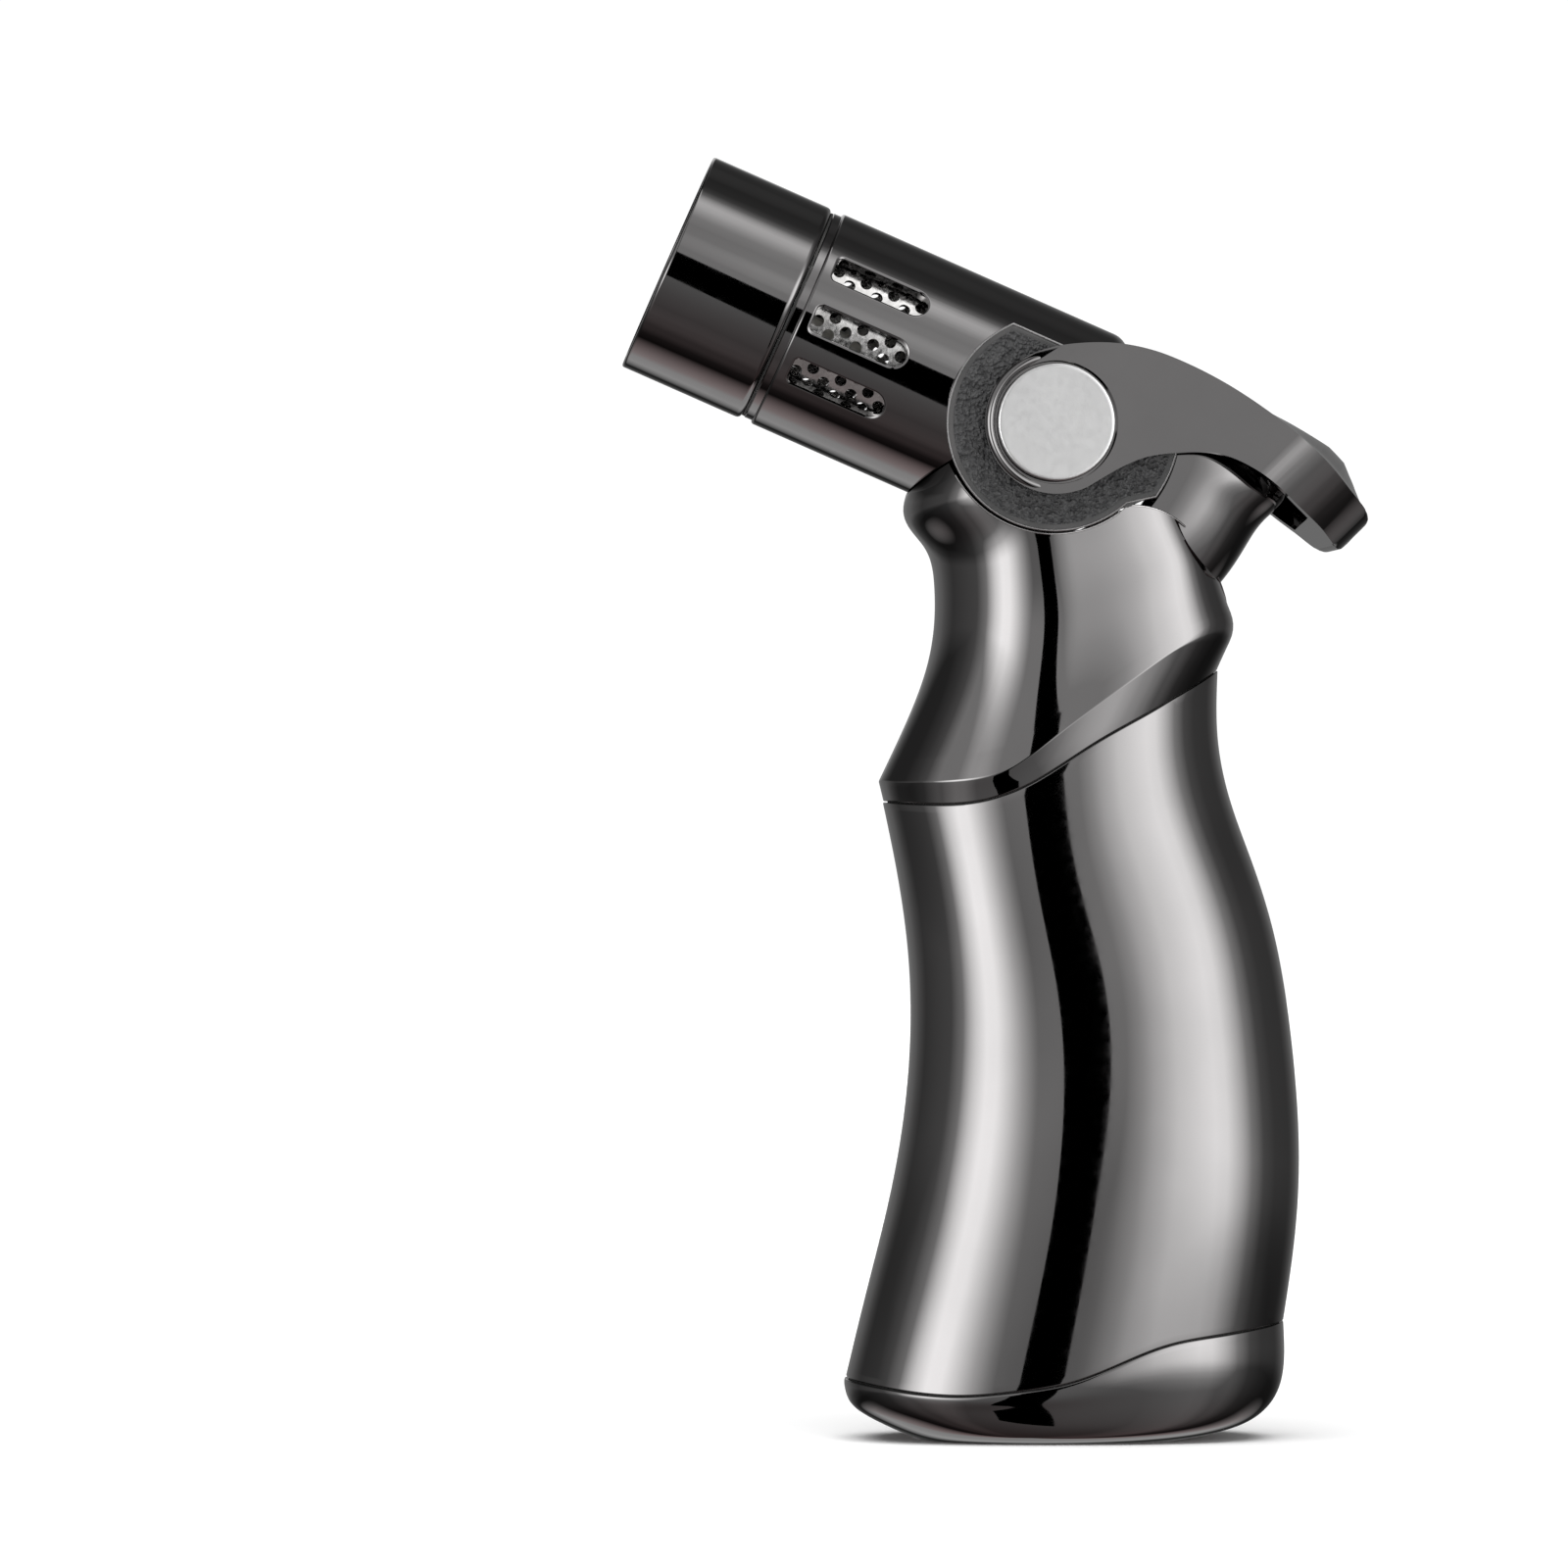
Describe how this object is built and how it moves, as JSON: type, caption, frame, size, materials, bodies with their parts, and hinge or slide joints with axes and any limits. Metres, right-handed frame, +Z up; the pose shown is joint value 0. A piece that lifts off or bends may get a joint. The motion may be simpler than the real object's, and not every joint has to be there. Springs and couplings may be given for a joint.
{
  "type": "jet torch lighter",
  "caption": "Hand-held butane torch lighter with a tilted slotted barrel, a jet burner, a thumb lever that works a piezo igniter and gas valve, and a curved upright handle.",
  "frame": {"origin": "middle of the flat foot under the base cap", "axes": "+Z up along the handle, nozzle towards -X, thumb lever towards +X, +Y across"},
  "size_m": [0.0842, 0.0344, 0.1452],
  "materials": {
    "black_chrome": "dark gunmetal mirror plating",
    "satin_steel": "satin",
    "bright_steel": "bright, lightly polished",
    "brass": "turned",
    "grained_black": "leather-grained",
    "matte_black": "matte",
    "ceramic": "glazed",
    "tank_plastic": "translucent grey",
    "pale_plastic": "moulded",
    "rubber": "matte"
  },
  "bodies": {
    "casing": {"nozzle_collar": "black_chrome", "barrel_shell": "black_chrome", "mesh_liner": "bright_steel", "burner_insert": "matte_black", "jet_tube_1": "brass", "jet_tube_2": "brass", "jet_tube_3": "brass", "jet_tube_4": "brass", "flame_disc_1": "bright_steel", "flame_disc_2": "bright_steel", "flame_disc_3": "bright_steel", "flame_disc_4": "bright_steel", "burner_screw": "satin_steel", "gas_manifold": "satin_steel", "electrode_insulator": "ceramic", "electrode_tip": "bright_steel", "neck_housing": "black_chrome", "handle_shell": "black_chrome", "base_cap": "black_chrome", "side_plate_left": "grained_black", "side_plate_right": "grained_black", "pivot_pin": "satin_steel", "pivot_cap_left": "satin_steel", "pivot_cap_right": "satin_steel", "fuel_tank": "tank_plastic", "tank_seal": "rubber", "tank_lid": "tank_plastic", "gas_valve_body": "brass", "rocker_pin": "satin_steel", "mechanism_frame": "pale_plastic", "piezo_body": "matte_black", "piezo_spring": "bright_steel", "ignition_wire": "rubber", "gas_tube": "pale_plastic", "feed_tube": "pale_plastic", "regulator_body": "brass", "refill_valve_body": "brass", "refill_spring": "bright_steel"},
    "lever": {"thumb_lever": "black_chrome", "lever_skirt": "black_chrome"},
    "plunger": {"piezo_plunger": "pale_plastic"},
    "rocker": {"valve_rocker": "satin_steel"},
    "stem": {"valve_stem": "brass"},
    "dial": {"flame_dial": "satin_steel"},
    "refill": {"refill_stem": "brass"}
  },
  "joints": [
    {"name": "lever_press", "type": "hinge", "parent": "casing", "child": "lever", "pos_m": [0.00145, 0, 0.1146], "axis": [0, 1, 0], "range_deg": [0, 14], "stiffness_Nm_per_rad": 0.4, "springref_deg": -8.59},
    {"name": "plunger_slide", "type": "slide", "parent": "casing", "child": "plunger", "axis": [0, 0, -1], "range_m": [0, 0.0029], "deforming": ["piezo_spring"]},
    {"name": "rocker_turn", "type": "hinge", "parent": "casing", "child": "rocker", "pos_m": [-0.0015, 0, 0.08575], "axis": [0, 1, 0], "range_deg": [0, 21]},
    {"name": "stem_lift", "type": "slide", "parent": "casing", "child": "stem", "axis": [0, 0, 1], "range_m": [0, 0.0013]},
    {"name": "dial_turn", "type": "hinge", "parent": "casing", "child": "dial", "pos_m": [-0.0095, 0, 0.0006], "axis": [0, 0, 1], "range_deg": [-135, 135]},
    {"name": "refill_press", "type": "slide", "parent": "casing", "child": "refill", "axis": [0, 0, 1], "range_m": [0, 0.0012], "stiffness_N_per_m": 300, "springref_m": -0.002, "deforming": ["refill_spring"]}
  ],
  "couplings": [
    {"joint": "plunger_slide", "follows": "lever_press", "m_per_rad": 0.01158},
    {"joint": "rocker_turn", "follows": "lever_press", "ratio": 1.47},
    {"joint": "stem_lift", "follows": "lever_press", "m_per_rad": 0.00505}
  ]
}
